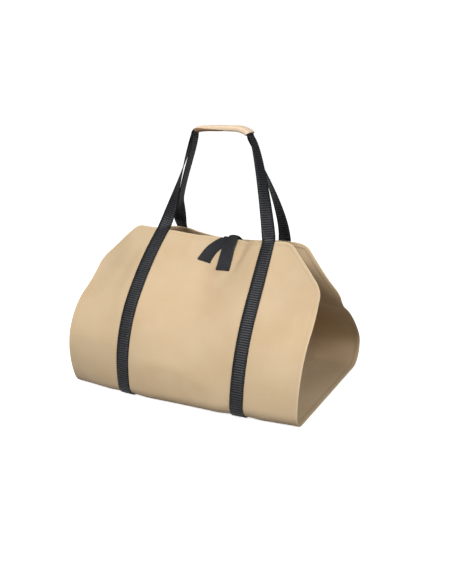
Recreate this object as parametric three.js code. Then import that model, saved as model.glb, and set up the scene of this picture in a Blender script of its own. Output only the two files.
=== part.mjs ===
import * as THREE from 'three';

// A log carrier standing on the floor with its mouth drawn together: an eight-sided canvas sling,
// two lengths of webbing that run under it and rise into the handles, a canvas wrap that holds both
// handles, and two tapes tied over the front edge.
// Millimetres, +Z up, the front faces -Y, and the origin is the middle of the footprint.

// The flat cloth. Front and back are its lengths from the middle of the floor to each top edge.
const CLOTH = { width: 450, front: 495, back: 488, thick: 1.4, hem: 8, hemStep: 2, hemThick: 2.4 };
// Where the middle of the floor lies, so that the origin is the middle of the whole.
const FLOOR_MIDDLE_Y = -3.7;
// Each corner of the cloth is cut off; the upper end of the cut is rounded, the lower one softened.
const CUT = { across: 64, along: 80, round: 28, soften: 14 };
const WEBBING = { width: 24, thick: 1.8, left: -105, right: 119 };
// Clear space between pieces that lie against each other.
const GAP = 0.3;
// How finely the cloth is divided: rows down from each top edge, then parts of the wall and of the
// foot bend; columns in each outer strip and between the two lines of webbing.
const DIVISION = {
  edgeRows: [0, 1.5, 5], cutRows: [26, 40, 54], wall: 10, bend: 9, easing: 11, floorRow: 60,
};
const COLUMNS = { outer: 4, middle: 8, beside: 2 };
// The cloth lies on the webbing, and sinks to the floor away from it.
const SAG = { depth: 1.9, from: 16, to: 45 };

// Sections of the cloth across its width, from the left end (-1) to the right end (1). Each half
// runs along the floor, round the foot bend, up the belly and up the upper wall; turns in degrees.
// Slip is the length drawn from the back half into the front half.
const FRONT_SECTIONS = [
  { at: -1.0, slip: 13, floor: 139, foot: 27, footTurn: 62, belly: 184, bellyTurn: 86, upperTurn: -30 },
  { at: -0.5, slip: 10, floor: 152, foot: 32, footTurn: 80, belly: 166, bellyTurn: 47, upperTurn: 18 },
  { at: 0.0, slip: 8, floor: 151, foot: 38, footTurn: 86, belly: 155, bellyTurn: 54, upperTurn: -12 },
  { at: 0.5, slip: -12, floor: 150, foot: 42, footTurn: 94, belly: 157, bellyTurn: 31, upperTurn: 2 },
  { at: 1.0, slip: -13, floor: 142, foot: 41, footTurn: 90, belly: 135, bellyTurn: 46, upperTurn: -44 },
];
const BACK_SECTIONS = [
  { at: -1.0, floor: 142, foot: 50, footTurn: 80, belly: 150, bellyTurn: 56, upperTurn: -8 },
  { at: -0.5, floor: 148, foot: 40, footTurn: 86, belly: 155, bellyTurn: 46, upperTurn: -10 },
  { at: 0.0, floor: 148, foot: 40, footTurn: 88, belly: 150, bellyTurn: 48, upperTurn: -10 },
  { at: 0.5, floor: 153, foot: 56, footTurn: 104, belly: 136, bellyTurn: 47, upperTurn: -60 },
  { at: 1.0, floor: 148, foot: 90, footTurn: 132, belly: 130, bellyTurn: 19, upperTurn: -84 },
];

// Soft folds: a long dent (negative) or ridge in the cloth, centred on a place in the flat cloth,
// running at an angle from the width direction.
const FOLDS = [
  { x: 55, girth: -445, angle: 115, length: 45, width: 16, depth: -5 },
  { x: -20, girth: -430, angle: 60, length: 50, width: 20, depth: -4 },
  { x: 185, girth: -360, angle: 80, length: 70, width: 22, depth: -4 },
];

// The two handles lie one on the other inside the wrap, which droops at its right end.
const CROWN = { y: -0.7, startX: -51, startZ: 459.6, heading: 86 };
const CROWN_RUN = [
  { name: 'left bend', length: 14, turn: -81.5, steps: 4 },
  { name: 'grip', length: 74, turn: -5, steps: 5 },
  { name: 'droop', length: 24, turn: -26.5, steps: 3 },
  { name: 'right bend', length: 10, turn: -59, steps: 4 },
];
const WRAP = { width: 30, height: 10.8, wall: 2.2, firstStep: 3, lastStep: -2, sides: 20, squareness: 4 };
// Each handle leg: how far it runs straight out of the panel and of the crown, and how far it stands
// off its neighbour. It turns its flat side as it climbs: done is the share of the leg where that
// ends, a power below 1 makes the turn come early, and lead turns it the other way first.
const LEG_STEPS = 18;
const FRONT_LEGS = {
  left: { lowerPull: 38, upperPull: 36, spread: 16, done: 1, power: 0.8, lead: 27 },
  right: { lowerPull: 9, upperPull: 8, spread: 13.5, done: 1, power: 0.5, lead: 5.5 },
};
const BACK_LEGS = {
  left: { lowerPull: 62, upperPull: 36, spread: 0.6, done: 0.28, power: 0.5, lead: 30.6 },
  right: { lowerPull: 62, upperPull: 8, spread: 2.5, done: 1, power: 0.5, lead: 11 },
};

// The tie: a tape from inside each panel, both brought over the front edge. Places on the front
// panel are given across the width and down from its top edge, turns round that edge in degrees.
// Gathered is the share of its width that a tape keeps where it is pulled over the edge.
const TAPE = { width: 28.5, thick: 1.2, sewn: 26, belowEdge: 5, rest: 0.85, steps: 8 };
const BACK_TAPE = { sewnX: 46, x: 40, gathered: 0.78, bridgeSteps: 5, sag: 5 };
const BACK_EDGE = { radius: 6.5, from: 110, to: 40 };
const BACK_TAIL = { x: 34, opened: 22, down: 64.5, edgeLift: 4, endLift: 0.9 };
const FRONT_TAPE = { x: 24, gathered: 0.6, edgeFrom: 180, edgeTo: 0, edgeSteps: 4 };
const FRONT_TAIL = { bendDown: 10, sweepX: -4, sweepDown: 12, endX: -11.5, endDown: 53, creep: 3 };

// Colour and roughness of each material.
const CANVAS = { color: 0xd9c09a, roughness: 0.85 };
const WRAP_CANVAS = { color: 0xe3c79f, roughness: 0.85 };
const BLACK_WEBBING = { color: 0x34353a, roughness: 0.7 };
const BLACK_TAPE = { color: 0x3b3c40, roughness: 0.75 };

const rad = THREE.MathUtils.degToRad;
const lerp = THREE.MathUtils.lerp;

// Smooth change of one column of a section table along the width.
function column(table, name) {
  const curve = new THREE.SplineCurve(table.map((row) => new THREE.Vector2(row.at, row[name])));
  return (x) => curve.getPoint(THREE.MathUtils.clamp(x / CLOTH.width + 0.5, 0, 1)).y;
}

function columns(table) {
  const names = Object.keys(table[0]).filter((name) => name !== 'at');
  const read = names.map((name) => [name, column(table, name)]);
  return (x) => Object.fromEntries(read.map(([name, at]) => [name, at(x)]));
}

const frontAt = columns(FRONT_SECTIONS);
const backAt = columns(BACK_SECTIONS);

// Follows straights and arcs for a distance; gives the place and the heading reached.
function walk(segments, distance, heading = 0) {
  const reached = { out: 0, up: 0, heading };
  let left = distance;
  segments.forEach(({ length, turn }, index) => {
    const last = index === segments.length - 1;
    const run = last ? left : Math.min(left, length);
    const bend = rad(turn) / length;
    const start = reached.heading;
    const end = start + bend * run;
    if (Math.abs(bend) < 1e-6) {
      reached.out += Math.cos(start) * run;
      reached.up += Math.sin(start) * run;
    } else {
      reached.out += (Math.sin(end) - Math.sin(start)) / bend;
      reached.up += (Math.cos(start) - Math.cos(end)) / bend;
    }
    reached.heading = end;
    left -= run;
  });
  return reached;
}

function wallSegments(section, length) {
  const { floor, foot, footTurn, belly, bellyTurn, upperTurn } = section;
  return [
    { length: floor, turn: 0 },
    { length: foot, turn: footTurn },
    { length: belly, turn: bellyTurn },
    { length: length - floor - foot - belly, turn: upperTurn },
  ];
}

function foldDepth(x, girth) {
  return FOLDS.reduce((sum, fold) => {
    const dx = x - fold.x;
    const dg = girth - fold.girth;
    const along = dx * Math.cos(rad(fold.angle)) + dg * Math.sin(rad(fold.angle));
    const across = dg * Math.cos(rad(fold.angle)) - dx * Math.sin(rad(fold.angle));
    return sum + fold.depth * Math.exp(-((along / fold.length) ** 2) - (across / fold.width) ** 2);
  }, 0);
}

function restHeight(x) {
  const away = Math.min(Math.abs(x - WEBBING.left), Math.abs(x - WEBBING.right));
  return WEBBING.thick + GAP - SAG.depth * THREE.MathUtils.smoothstep(away, SAG.from, SAG.to);
}

// A point of the outer face. Girth runs from the front top edge, over the floor, to the back edge.
function clothPoint(x, girth) {
  const front = frontAt(x);
  const run = girth - front.slip;
  const isFront = run < 0;
  const segments = isFront
    ? wallSegments(front, CLOTH.front + front.slip)
    : wallSegments(backAt(x), CLOTH.back - front.slip);
  const { out, up, heading } = walk(segments, Math.abs(run));
  const depth = foldDepth(x, girth);
  const reach = out + depth * Math.sin(heading);
  const y = FLOOR_MIDDLE_Y + (isFront ? -reach : reach);
  return new THREE.Vector3(x, y, up - depth * Math.cos(heading) + restHeight(x));
}

function clothNormal(x, girth) {
  const step = 0.5;
  const alongX = clothPoint(x + step, girth).sub(clothPoint(x - step, girth));
  const alongGirth = clothPoint(x, girth + step).sub(clothPoint(x, girth - step));
  return alongGirth.cross(alongX).normalize();
}

function clothLifted(x, girth, lift) {
  return clothPoint(x, girth).addScaledVector(clothNormal(x, girth), lift);
}

// Half the cloth's width at a distance from its top edge.
function halfWidth(fromEdge) {
  const slope = Math.atan2(CUT.along, CUT.across);
  const corner = CLOTH.width / 2 - CUT.across;
  if (fromEdge < CUT.round * (1 - Math.cos(slope))) {
    const arcStart = corner - CUT.round * Math.tan(slope / 2);
    return arcStart + Math.sqrt(fromEdge * (2 * CUT.round - fromEdge));
  }
  const above = CUT.along - fromEdge;
  const soft = CUT.soften;
  const rise = Math.abs(above) > soft ? Math.max(above, 0) : (above + soft) ** 2 / (4 * soft);
  return CLOTH.width / 2 - (rise * CUT.across) / CUT.along;
}

function fromEdge(girth) {
  return Math.min(girth + CLOTH.front, CLOTH.back - girth);
}

// Distances from a top edge at which the cloth is divided, closest where it bends most.
function divisions(length, section) {
  const { hem, hemStep } = CLOTH;
  const { edgeRows, cutRows, easing, floorRow } = DIVISION;
  const cutEnd = [CUT.along - CUT.soften, CUT.along + CUT.soften];
  const bendStart = length - section.floor;
  const bendEnd = bendStart - section.foot;
  const wall = evenly(cutEnd[1], bendEnd - easing, DIVISION.wall).slice(1);
  const bend = evenly(bendEnd, bendStart + easing, DIVISION.bend);
  return [...edgeRows, hem, hem + hemStep, ...cutRows, ...cutEnd, ...wall, ...bend, length - floorRow];
}

function evenly(start, end, parts) {
  return Array.from({ length: parts + 1 }, (_, index) => lerp(start, end, index / parts));
}

const frontRows = divisions(CLOTH.front, frontAt(0)).map((distance) => distance - CLOTH.front);
const backRows = divisions(CLOTH.back, backAt(0)).map((distance) => CLOTH.back - distance).reverse();

const clothRows = [...frontRows, 0, ...backRows];

function webbingPlaces(middle) {
  return [-0.5, 0, 0.5].map((share) => middle + share * WEBBING.width);
}

function clothColumns(girth) {
  const { width, left, right } = WEBBING;
  const edge = halfWidth(fromEdge(girth));
  const hemLine = edge - CLOTH.hem;
  const inside = hemLine - CLOTH.hemStep;
  const clear = width / 2 + COLUMNS.beside;
  return [
    -edge, -hemLine, ...evenly(-inside, left - clear, COLUMNS.outer),
    ...webbingPlaces(left), ...evenly(left + clear, right - clear, COLUMNS.middle), ...webbingPlaces(right),
    ...evenly(right + clear, inside, COLUMNS.outer), hemLine, edge,
  ];
}

// A closed solid from rows of outer points and the matching rows of inner points. A ring joins
// the last point of each row to the first.
function wallGeometry(outer, inner, ring = false) {
  const rows = outer.length;
  const across = outer[0].length;
  const outerAt = (row, col) => row * across + (col % across);
  const innerAt = (row, col) => rows * across + outerAt(row, col);
  const index = [];
  const quad = (a, b, c, d) => index.push(a, b, c, a, c, d);
  const rim = (a, b) => quad(outerAt(...a), outerAt(...b), innerAt(...b), innerAt(...a));
  const strips = ring ? across : across - 1;
  for (let row = 0; row < rows - 1; row += 1) {
    for (let col = 0; col < strips; col += 1) {
      quad(outerAt(row, col), outerAt(row + 1, col), outerAt(row + 1, col + 1), outerAt(row, col + 1));
      quad(innerAt(row, col), innerAt(row, col + 1), innerAt(row + 1, col + 1), innerAt(row + 1, col));
    }
    if (!ring) {
      rim([row + 1, 0], [row, 0]);
      rim([row, across - 1], [row + 1, across - 1]);
    }
  }
  for (let col = 0; col < strips; col += 1) {
    rim([0, col], [0, col + 1]);
    rim([rows - 1, col + 1], [rows - 1, col]);
  }
  const geometry = new THREE.BufferGeometry().setFromPoints([...outer.flat(), ...inner.flat()]);
  geometry.setIndex(index);
  geometry.computeVertexNormals();
  return geometry;
}

function piece(name, geometry, material) {
  const mesh = new THREE.Mesh(geometry, new THREE.MeshStandardMaterial(material));
  mesh.name = name;
  return mesh;
}

function canvasSling() {
  const thickness = (girth, columnFromEdge) => {
    const inHem = fromEdge(girth) <= CLOTH.hem || columnFromEdge < 2;
    return inHem ? CLOTH.hemThick : CLOTH.thick;
  };
  const outer = clothRows.map((girth) => clothColumns(girth).map((x) => clothPoint(x, girth)));
  const inner = clothRows.map((girth) => {
    const places = clothColumns(girth);
    return places.map((x, col) => {
      const columnFromEdge = Math.min(col, places.length - 1 - col);
      return clothLifted(x, girth, -thickness(girth, columnFromEdge));
    });
  });
  return piece('canvas_sling', wallGeometry(outer, inner), CANVAS);
}

// One crosswise row of a ribbon: its points on the outer face and on the inner face.
function ribbonRow(centre, side, normal, { width, thick }) {
  const across = [-0.5, 0, 0.5].map((share) => centre.clone().addScaledVector(side, share * width));
  return {
    outer: across.map((point) => point.clone().addScaledVector(normal, thick / 2)),
    inner: across.map((point) => point.clone().addScaledVector(normal, -thick / 2)),
  };
}

function ribbonGeometry(rows) {
  return wallGeometry(rows.map((row) => row.outer), rows.map((row) => row.inner));
}

// Webbing lying against the cloth, from the floor up to a top edge.
function webbingOnCloth(girths, middle) {
  const places = webbingPlaces(middle);
  return girths.map((girth) => ({
    outer: places.map((x) => clothLifted(x, girth, GAP + WEBBING.thick)),
    inner: places.map((x) => clothLifted(x, girth, GAP)),
  }));
}

function middleOf(row) {
  return row.outer[1].clone().add(row.inner[1]).multiplyScalar(0.5);
}

// Distances along the crown at which the handles and the wrap are divided.
const crownStops = CROWN_RUN.reduce((stops, { length, steps }) => (
  [...stops, ...evenly(stops.at(-1), stops.at(-1) + length, steps).slice(1)]), [0]);

// Place and frame on the line that both handles follow through the wrap, raised by a lift.
function crownFrame(distance, lift) {
  const { out, up, heading } = walk(CROWN_RUN, distance, rad(CROWN.heading));
  const forward = new THREE.Vector3(Math.cos(heading), 0, Math.sin(heading));
  const normal = new THREE.Vector3(-Math.sin(heading), 0, Math.cos(heading));
  const centre = new THREE.Vector3(CROWN.startX + out, CROWN.y, CROWN.startZ + up);
  return { centre: centre.addScaledVector(normal, lift), forward, normal };
}

// A handle leg from the last row on the cloth to the crown, turning its flat side as it climbs.
function legRows(lastRow, previousRow, top, facing, leg) {
  const start = middleOf(lastRow);
  const startForward = start.clone().sub(middleOf(previousRow)).normalize();
  const startNormal = lastRow.outer[1].clone().sub(lastRow.inner[1]).normalize();
  const upperPull = top.centre.clone().addScaledVector(top.forward, -leg.upperPull);
  upperPull.addScaledVector(top.normal, facing * leg.spread);
  const curve = new THREE.CubicBezierCurve3(
    start,
    start.clone().addScaledVector(startForward, leg.lowerPull),
    upperPull,
    top.centre,
  );
  return evenly(0, 1, LEG_STEPS).slice(1, -1).map((share) => {
    const forward = curve.getTangent(share);
    const part = Math.min(share / leg.done, 1);
    const turn = rad(90 * part ** leg.power - leg.lead * Math.sin(Math.PI * Math.sqrt(part)));
    const normal = startNormal.clone().multiplyScalar(Math.cos(turn));
    normal.addScaledVector(top.normal, Math.sin(turn));
    normal.addScaledVector(forward, -normal.dot(forward)).normalize();
    const side = forward.clone().cross(normal).multiplyScalar(facing);
    return ribbonRow(curve.getPoint(share), side, normal, WEBBING);
  });
}

function turnedRows(rows) {
  return rows.map(({ outer, inner }) => ({ outer: [...outer].reverse(), inner: [...inner].reverse() }));
}

function mirroredRows(rows) {
  return turnedRows(rows).reverse();
}

// One length of webbing: up the left of a panel, through the wrap, and down the right. Both have
// the outer face up in the wrap, the front one (facing 1) above the back one (facing -1).
function webbing(name, girths, facing) {
  const legs = facing > 0 ? FRONT_LEGS : BACK_LEGS;
  const lift = (facing * (WEBBING.thick + GAP)) / 2;
  const left = webbingOnCloth(girths, WEBBING.left);
  const right = webbingOnCloth(girths, WEBBING.right);
  const leftTop = crownFrame(0, lift);
  const rightEnd = crownFrame(crownStops.at(-1), lift);
  const rightTop = { ...rightEnd, forward: rightEnd.forward.clone().negate() };
  const leftLeg = legRows(left.at(-1), left.at(-2), leftTop, facing, legs.left);
  const rightLeg = legRows(right.at(-1), right.at(-2), rightTop, facing, legs.right);
  const crown = crownStops.map((distance) => {
    const { centre, forward, normal } = crownFrame(distance, lift);
    return ribbonRow(centre, forward.clone().cross(normal).multiplyScalar(facing), normal, WEBBING);
  });
  const rows = [...left, ...leftLeg, ...crown, ...mirroredRows([...right, ...rightLeg])];
  return piece(name, ribbonGeometry(facing > 0 ? turnedRows(rows) : rows), BLACK_WEBBING);
}

// The wrap is a flat sleeve round both handles.
function gripWrap() {
  const outline = (angle, cut) => {
    const bulge = (part) => Math.sign(part) * Math.abs(part) ** (2 / WRAP.squareness);
    const reach = (part, size) => bulge(part) * (size / 2 - cut);
    return { side: reach(Math.cos(angle), WRAP.width), rise: reach(Math.sin(angle), WRAP.height) };
  };
  const angles = evenly(0, 2 * Math.PI, WRAP.sides).slice(0, -1);
  const ringAt = (distance, cut) => {
    const { centre, forward, normal } = crownFrame(distance, 0);
    const across = forward.clone().cross(normal);
    return angles.map((angle) => {
      const { side, rise } = outline(angle, cut);
      return centre.clone().addScaledVector(across, side).addScaledVector(normal, rise);
    });
  };
  const distances = crownStops.slice(WRAP.firstStep, WRAP.lastStep);
  const outer = distances.map((distance) => ringAt(distance, 0));
  const inner = distances.map((distance) => ringAt(distance, WRAP.wall));
  return piece('grip_wrap', wallGeometry(outer, inner, true), WRAP_CANVAS);
}

// A place on the flat facets of the cloth, raised off them.
function facetLifted(x, girth, lift) {
  const onRow = (row) => {
    const places = clothColumns(row);
    const right = places.findIndex((place) => place > x);
    const share = (x - places[right - 1]) / (places[right] - places[right - 1]);
    return clothPoint(places[right - 1], row).lerp(clothPoint(places[right], row), share);
  };
  const after = Math.max(clothRows.findIndex((row) => row > girth), 1);
  const [low, high] = clothRows.slice(after - 1, after + 1);
  const point = onRow(low).lerp(onRow(high), (girth - low) / (high - low));
  return point.addScaledVector(clothNormal(x, girth), lift);
}

// A ribbon whose under face is given as rows of points, thickened away from that face.
function tapePiece(name, under) {
  const upper = under.map((row, at) => row.map((point, col) => {
    const ahead = under[Math.min(at + 1, under.length - 1)][col];
    const behind = under[Math.max(at - 1, 0)][col];
    const along = ahead.clone().sub(behind);
    const across = row.at(-1).clone().sub(row[0]);
    return point.clone().addScaledVector(along.cross(across).normalize(), TAPE.thick);
  }));
  return piece(name, wallGeometry(upper, under), BLACK_TAPE);
}

function tapePlaces(middle, gathered = 1) {
  return [-0.5, 0, 0.5].map((share) => middle + share * TAPE.width * gathered);
}

const frontGirth = (down) => down - CLOTH.front;
const backGirth = (down) => CLOTH.back - down;
const sewnRows = evenly(TAPE.sewn, TAPE.belowEdge, 2);
const insideLift = -(CLOTH.hemThick + GAP);

// A point at an angle round the front top edge: 0 is in front, 90 above, 180 behind.
function roundFrontEdge(x, degrees, radius) {
  const girth = frontGirth(0);
  const upward = clothPoint(x, girth).sub(clothPoint(x, girth + 1)).normalize();
  const outward = clothNormal(x, girth).multiplyScalar(Math.cos(rad(degrees)));
  const middle = clothLifted(x, girth, -CLOTH.hemThick / 2);
  return middle.addScaledVector(outward.addScaledVector(upward, Math.sin(rad(degrees))), radius);
}

// From inside the back panel, over the gap and the front edge, and straight down the front.
function tieBackTape() {
  const { sewnX, x, gathered, bridgeSteps, sag } = BACK_TAPE;
  const { down: tail, opened, edgeLift, endLift } = BACK_TAIL;
  const places = tapePlaces(x, gathered);
  const sewn = sewnRows.map((down) => (
    tapePlaces(sewnX).map((place) => clothLifted(place, backGirth(down), insideLift - TAPE.thick))));
  const bridge = evenly(0, 1, bridgeSteps).slice(1, -1).map((share) => places.map((place, col) => {
    const end = roundFrontEdge(place, BACK_EDGE.from, BACK_EDGE.radius);
    const point = sewn.at(-1)[col].clone().lerp(end, share);
    point.z -= sag * Math.sin(Math.PI * share);
    return point;
  }));
  const edge = evenly(BACK_EDGE.from, BACK_EDGE.to, 2).map((turn) => (
    places.map((place) => roundFrontEdge(place, turn, BACK_EDGE.radius))));
  const hanging = evenly(TAPE.belowEdge, tail, TAPE.steps).map((down) => {
    const share = Math.min(down / opened, 1);
    return tapePlaces(lerp(x, BACK_TAIL.x, share), lerp(gathered, 1, share)).map((place) => (
      facetLifted(place, frontGirth(down), lerp(edgeLift, endLift, down / tail))));
  });
  return tapePiece('tie_back_tape', [...sewn, ...bridge, ...edge, ...hanging]);
}

// From inside the front panel, close over its edge, and sweeping down to the left. Its upper side
// leaves the edge slowly.
function tieFrontTape() {
  const { x, gathered, edgeFrom, edgeTo, edgeSteps } = FRONT_TAPE;
  const { bendDown, sweepX, sweepDown, endX, endDown, creep } = FRONT_TAIL;
  const places = tapePlaces(x, gathered);
  const sewn = sewnRows.map((down) => (
    places.map((place) => clothLifted(place, frontGirth(down), insideLift))));
  const edge = evenly(edgeFrom, edgeTo, edgeSteps).map((turn) => (
    places.map((place) => roundFrontEdge(place, turn, CLOTH.hemThick / 2 + TAPE.rest))));
  const sweep = new THREE.CubicBezierCurve(
    new THREE.Vector2(x, 0),
    new THREE.Vector2(x, bendDown),
    new THREE.Vector2(sweepX, sweepDown),
    new THREE.Vector2(endX, endDown),
  );
  const hanging = evenly(0, 1, TAPE.steps).slice(1).map((share) => {
    const middle = sweep.getPoint(share);
    const heading = sweep.getTangent(share);
    return tapePlaces(0, lerp(gathered, 1, share)).map((away) => {
      const down = Math.max(middle.y - away * heading.x, creep * share);
      return facetLifted(middle.x + away * heading.y, frontGirth(down), TAPE.rest);
    });
  });
  return tapePiece('tie_front_tape', [...sewn, ...edge, ...hanging]);
}

const group = new THREE.Group();
const frontRun = [-GAP / 2, ...frontRows.slice().reverse()];
const backRun = [GAP / 2, ...backRows];
group.add(canvasSling());
group.add(webbing('front_webbing', frontRun, 1));
group.add(webbing('back_webbing', backRun, -1));
group.add(gripWrap());
group.add(tieBackTape());
group.add(tieFrontTape());

export default group;
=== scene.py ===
# %% [markdown]
# # A canvas log carrier
# The carrier is one sheet of stout tan canvas, folded into a sling. Two lengths of black webbing run under
# it and rise into the handles, a canvas wrap holds the handles together, and two black tapes tie the mouth.
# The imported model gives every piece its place, so it is loaded first and nothing is fitted by eye later.

# %% Load the frame
import math

import bpy
import bmesh
import numpy as np
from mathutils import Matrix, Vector, noise


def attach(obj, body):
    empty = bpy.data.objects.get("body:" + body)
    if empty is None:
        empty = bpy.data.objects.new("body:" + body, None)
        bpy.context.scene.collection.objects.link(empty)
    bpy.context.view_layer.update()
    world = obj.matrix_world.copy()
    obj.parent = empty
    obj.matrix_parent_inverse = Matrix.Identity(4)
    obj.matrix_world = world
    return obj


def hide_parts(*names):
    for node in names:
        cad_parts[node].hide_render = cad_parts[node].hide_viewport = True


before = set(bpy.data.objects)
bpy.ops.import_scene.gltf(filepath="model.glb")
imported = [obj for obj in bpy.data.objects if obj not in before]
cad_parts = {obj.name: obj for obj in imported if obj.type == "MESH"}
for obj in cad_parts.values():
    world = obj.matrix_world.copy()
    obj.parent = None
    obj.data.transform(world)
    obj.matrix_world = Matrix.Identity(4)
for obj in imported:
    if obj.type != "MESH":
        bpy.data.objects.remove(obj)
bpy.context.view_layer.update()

# %% [markdown]
# ## The shape of the sling
# A loaded sling is a strip of cloth that lies on the floor, turns up at a foot bend, bellies out and leans
# in towards the handles. It could be simulated, but the folded shape is known, so each section across the
# width is a chain of straights and arcs whose lengths add up to the true length of the cloth. That keeps
# the cloth unstretched. Sizes are in millimetres until a mesh is made. Each table column holds a value at
# five places from the left end to the right end.

# %% Sections of the cloth
CLOTH = {"width": 450, "front": 495, "back": 488, "thick": 1.4, "hem": 8, "hem_thick": 2.4}
FLOOR_MIDDLE_Y = -3.7
FRONT = {
    "slip": (13, 10, 8, -12, -13),
    "floor": (139, 152, 151, 150, 142),
    "foot": (27, 32, 38, 42, 41), "foot_turn": (62, 80, 86, 94, 90),
    "belly": (184, 166, 155, 157, 135), "belly_turn": (86, 47, 54, 31, 46),
    "upper_turn": (-30, 18, -12, 2, -44),
}
BACK = {
    "floor": (142, 148, 148, 153, 148),
    "foot": (50, 40, 40, 56, 90), "foot_turn": (80, 86, 88, 104, 132),
    "belly": (150, 155, 150, 136, 130), "belly_turn": (56, 46, 48, 47, 19),
    "upper_turn": (-8, -10, -10, -60, -84),
}


def along_width(values, x):
    """The smooth value of a table column at places across the width."""
    values = np.array(values, float)
    place = np.clip(x / CLOTH["width"] + 0.5, 0, 1) * (len(values) - 1)
    start = place.astype(int)
    t = place - start
    before, low, high, after = (values[np.clip(start + k, 0, len(values) - 1)] for k in (-1, 0, 1, 2))
    rise, fall = (high - before) / 2, (after - low) / 2
    cubic, square = 2 * low - 2 * high + rise + fall, 3 * high - 3 * low - 2 * rise - fall
    return ((cubic * t + square) * t + rise) * t + low


STRAIGHT = 1e-6


def follow(lengths, turns, distance, heading=0.0):
    """Follows straights and arcs; gives how far out and up they lead, and the heading there."""
    out, up, left = 0.0, 0.0, distance
    for k, (length, turn) in enumerate(zip(lengths, turns)):
        run = left if k == len(lengths) - 1 else np.minimum(left, length)
        bend = np.radians(turn) / length
        bend = np.where(np.abs(bend) < STRAIGHT, STRAIGHT, bend)
        end = heading + bend * run
        out = out + (np.sin(end) - np.sin(heading)) / bend
        up = up + (np.cos(heading) - np.cos(end)) / bend
        heading, left = end, left - run
    return out, up, heading


print("cloth", CLOTH["width"], "by", CLOTH["front"] + CLOTH["back"], "mm when flat")

# %% [markdown]
# ## Folds and slack
# Stout cloth does not wrinkle finely: it takes a few long soft dents where it is drawn to the tie, and it
# is a little slack between the lines of webbing. A sculpted mesh could show that. Here each dent is a row
# of a table, and low smooth noise gives the slack, which fades out where webbing or the floor holds it.

# %% Dents and slack
WEBBING = {"width": 24, "thick": 1.8, "left": -105, "right": 119}
CLEARANCE = 0.3
SAG = {"depth": 1.9, "near": 16, "far": 45}
FOLD_COLUMNS = ("x", "girth", "angle", "length", "width", "depth")
FOLDS = [
    # Long dents below the tie and at the right end
    (55, -445, 115, 45, 16, -5.0),
    (-20, -430, 60, 50, 20, -4.0),
    (185, -360, 80, 70, 22, -4.0),
    # Narrow creases where the tie draws the edge in
    (65, -474, 102, 30, 7, -3.2),
    (81, -470, 112, 32, 8, 2.4),
    (-44, -478, 103, 26, 9, -2.6),
    (10, -419, 8, 32, 9, -2.0),
    # Upright creases of the two outer strips
    (196, -345, 86, 60, 11, -2.8),
    (150, -330, 95, 70, 16, 1.2),
    (-150, -380, 100, 60, 14, -1.5),
    # Where the belly turns under, and the hollows above it
    (-175, -252, -4, 45, 17, 1.7),
    (-160, -300, 25, 40, 20, -1.2),
    (-35, -232, -5, 55, 15, 1.4),
    (45, -222, 6, 40, 14, 1.0),
    (20, -300, 150, 60, 22, -1.4),
]
SLACK = [{"size": 120, "height": 1.6}, {"size": 52, "height": 0.75}, {"size": 24, "height": 0.2}]
HELD = {"near": 13, "far": 36, "floor": 150, "wall": 200}
# Each layer of slack is read from another slice of the noise.
NOISE_SLICE = 7.3


def smooth(value, low, high):
    """0 below low, 1 above high, with a smooth rise between them."""
    t = np.clip((value - low) / (high - low), 0, 1)
    return t * t * (3 - 2 * t)


def from_webbing(x):
    return np.minimum(np.abs(x - WEBBING["left"]), np.abs(x - WEBBING["right"]))


def fold_depth(x, girth):
    """How far the folds push the cloth out, or in where it is negative."""
    depth = 0
    for row in FOLDS:
        fold = dict(zip(FOLD_COLUMNS, row))
        turn = math.radians(fold["angle"])
        dx, dg = x - fold["x"], girth - fold["girth"]
        along = (dx * math.cos(turn) + dg * math.sin(turn)) / fold["length"]
        across = (dg * math.cos(turn) - dx * math.sin(turn)) / fold["width"]
        depth = depth + fold["depth"] * np.exp(-(along ** 2) - across ** 2)
    return depth


def noise_at(points):
    """Smooth noise between -1 and 1 at rows of three coordinates."""
    flat = points.reshape(-1, 3)
    return np.array([noise.noise(Vector(p)) for p in flat]).reshape(points.shape[:-1])


def slack(x, girth):
    """How far the loose cloth stands out or in between the places that hold it."""
    free = smooth(from_webbing(x), HELD["near"], HELD["far"])
    free = free * smooth(np.abs(girth), HELD["floor"], HELD["wall"])
    total = 0
    for layer, wave in enumerate(SLACK):
        cut = np.full_like(x, NOISE_SLICE * layer)
        place = np.stack([x / wave["size"], girth / wave["size"], cut], axis=-1)
        total = total + wave["height"] * noise_at(place)
    return free * total


print(len(FOLDS), "folds and", len(SLACK), "layers of slack")

# %% The outer face of the cloth
def sling(x, girth):
    """Points of the cloth's outer face; girth runs from the front edge, over the floor, to the back edge."""
    x, girth = np.broadcast_arrays(np.asarray(x, float), np.asarray(girth, float))
    slip = along_width(FRONT["slip"], x)
    run = girth - slip
    reach = {}
    for side, table, whole in (("front", FRONT, CLOTH["front"] + slip), ("back", BACK, CLOTH["back"] - slip)):
        floor, foot, belly = (along_width(table[name], x) for name in ("floor", "foot", "belly"))
        turns = [0.0] + [along_width(table[name], x) for name in ("foot_turn", "belly_turn", "upper_turn")]
        reach[side] = follow([floor, foot, belly, whole - floor - foot - belly], turns, np.abs(run))
    in_front = run < 0
    out, up, heading = (np.where(in_front, a, b) for a, b in zip(reach["front"], reach["back"]))
    depth = fold_depth(x, girth) + slack(x, girth)
    out = out + depth * np.sin(heading)
    rest = WEBBING["thick"] + CLEARANCE - SAG["depth"] * smooth(from_webbing(x), SAG["near"], SAG["far"])
    y = FLOOR_MIDDLE_Y + np.where(in_front, -out, out)
    return np.stack([x, y, up - depth * np.cos(heading) + rest], axis=-1)


def unit(vectors):
    return vectors / np.linalg.norm(vectors, axis=-1, keepdims=True)


def sling_normal(x, girth, step=0.5):
    """Which way the outer face of the cloth looks."""
    along_girth = sling(x, np.add(girth, step)) - sling(x, np.subtract(girth, step))
    return unit(np.cross(along_girth, sling(np.add(x, step), girth) - sling(np.subtract(x, step), girth)))


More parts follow.
